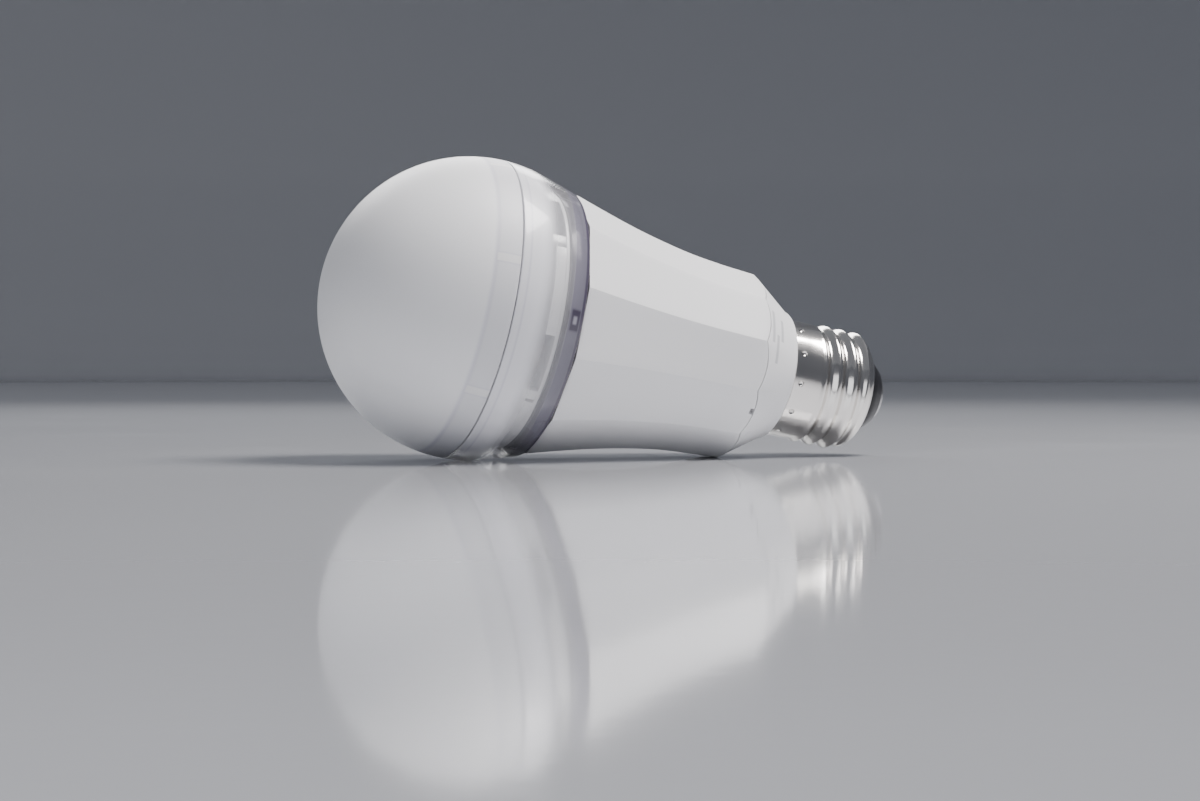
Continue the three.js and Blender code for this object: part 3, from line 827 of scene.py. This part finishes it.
rowCount = round((shell["threadHead"] + 0.7 - shell["threadFoot"]) / shell["rowStep"])
threadRows = [threadRow(shell["threadFoot"] + i * shell["rowStep"]) for i in range(rowCount + 1)]
screwShell = lofted("screwShell", [
    (8.95, 5),
    (9.25, 4.97),
    (10, 5.3),
    (10.6, 5.62),
    (11.2, 6.02),
    (11.7, 6.45),
    (12, 6.8),
    *threadRows,
    (shell["band"], 22),
    (shell["band"], shell["top"] - 0.15),
    (shell["band"] - 0.15, shell["top"]),
    (11.7, shell["top"]),
    (11.7, 7.6),
    (10.7, 6.4),
    (8.95, 5.7),
])
bpy.ops.object.select_all(action="DESELECT")
crimpPlace = (shell["band"] + 0.3, 0, shell["top"] - 1.8)
bpy.ops.mesh.primitive_uv_sphere_add(segments=16, ring_count=10, radius=0.75, location=crimpPlace)
crimp = bpy.context.object
bpy.ops.object.transform_apply(location=True)
combined(screwShell, ranged(crimp, shell["crimps"], towardsFront - 6), "DIFFERENCE")
settle(screwShell, "nickel_shell", finishes["nickel_shell"], "screw_shell")


print("insulator and contact")
baseInsulator = turned("baseInsulator", [
    (1.7, 1.9),
    (5.4, 1.9, 0.1),
    (5.6, 1.2, 0.1),
    (6.3, 1.5, 0.35),
    (8.2, 3.7, 0.6),
    (8.6, 4.7, 0.3),
    (8.6, 6),
    (10, 7),
    (10.2, 8.3),
    (1.7, 8.3),
    (1.7, 1.9),
], 96)
settle(baseInsulator, "black_insulator", finishes["black_insulator"], "base_insulator")
centreContact = turned("centreContact", [
    (0, 0),
    (4, 0, 0.5),
    (4.8, 0.4, 0.25),
    (5.1, 1, 0.2),
    (5.1, 1.6, 0.15),
    (1.3, 1.6, 0.1),
    (1.3, 9, 0.2),
    (0, 9),
], 96)
settle(centreContact, "contact_steel", finishes["contact_steel"], "centre_contact")


# The reflector: a shallow dish, with raised bars and clip tabs round its flange.
print("reflector")
reflector = {"floor": 83.6, "thickness": 0.8, "bars": 5, "barTurn": 40, "barMiddle": 12, "tabs": 24}
flangeTop = reflector["floor"] + reflector["thickness"]
reflectorDish = turned("reflectorDish", [
    (14.2, 81.7, 0.2),
    (25.1, reflector["floor"], 0.4),
    (27.5, reflector["floor"], 0.2),
    (27.5, flangeTop, 0.2),
    (25.3, flangeTop, 0.4),
    (14.2, 82.6, 0.2),
    (14.2, 81.7),
])
bar = turned("bar", [
    (26.3, flangeTop - 0.2),
    (27.4, flangeTop - 0.2),
    (27.4, flangeTop + 2.3, 0.35),
    (26.3, flangeTop + 2.3, 0.35),
    (26.3, flangeTop - 0.2),
], 16, radians(reflector["barTurn"]))
middle = sum((vertex.co for vertex in bar.data.vertices), Vector()) / len(bar.data.vertices)
swung(bar, -atan2(middle.y, middle.x) * 180 / pi)
bars = ranged(bar, reflector["bars"], towardsFront + reflector["barMiddle"])
tab = block("tab", (1.6, 2.4, 3.4), (26.6, 0, flangeTop + 1.5), 0.3)
tabs = ranged(tab, reflector["bars"], towardsFront + reflector["barMiddle"] + reflector["tabs"])
combined(reflectorDish, bars + tabs, "UNION")
settle(reflectorDish, "reflector_white", finishes["reflector_white"], "reflector_dish")


# The heat spreader: a dark plate with a turned-up rim, windows for the ring's hooks, and its holes.
print("heat spreader")
spreader = {"floor": 77.4, "top": 78.9, "rimFloor": 79.6, "rimTop": 83.3, "screwRadius": 20, "screwHole": 1.5}
heatSpreader = turned("heatSpreader", [
    (0, spreader["floor"]),
    (25.2, spreader["floor"], 0.15),
    (25.2, spreader["rimFloor"]),
    (26.7, spreader["rimFloor"], 0.25),
    (26.7, spreader["rimTop"], 0.3),
    (25.6, spreader["rimTop"], 0.3),
    (25.6, 80.4, 0.3),
    (24.2, 80.4, 0.3),
    (24.2, spreader["top"], 0.3),
    (0, spreader["top"]),
])
window = block("window", (3, 3.4, 2.2), (26.4, 0, ring["hookHeight"]), 0.3)
windows = ranged(window, ring["hooks"], towardsFront)
middleHeight = (spreader["floor"] + spreader["top"]) / 2
bpy.ops.object.select_all(action="DESELECT")
holePlace = (spreader["screwRadius"], 0, middleHeight)
bpy.ops.mesh.primitive_cylinder_add(vertices=32, radius=spreader["screwHole"], depth=6, location=holePlace)
hole = bpy.context.object
bpy.ops.object.transform_apply(location=True)
holes = ranged(hole, 3, 90)
slots = [
    block("leadSlot", (3.8, 3.8, 6), (-12, 0, middleHeight), 0.9),
    block("antennaSlot", (11, 1.8, 6), (0, -12, middleHeight), 0.4),
]
combined(heatSpreader, windows + holes + slots, "DIFFERENCE")
settle(heatSpreader, "dark_metal", finishes["dark_metal"], "heat_spreader")
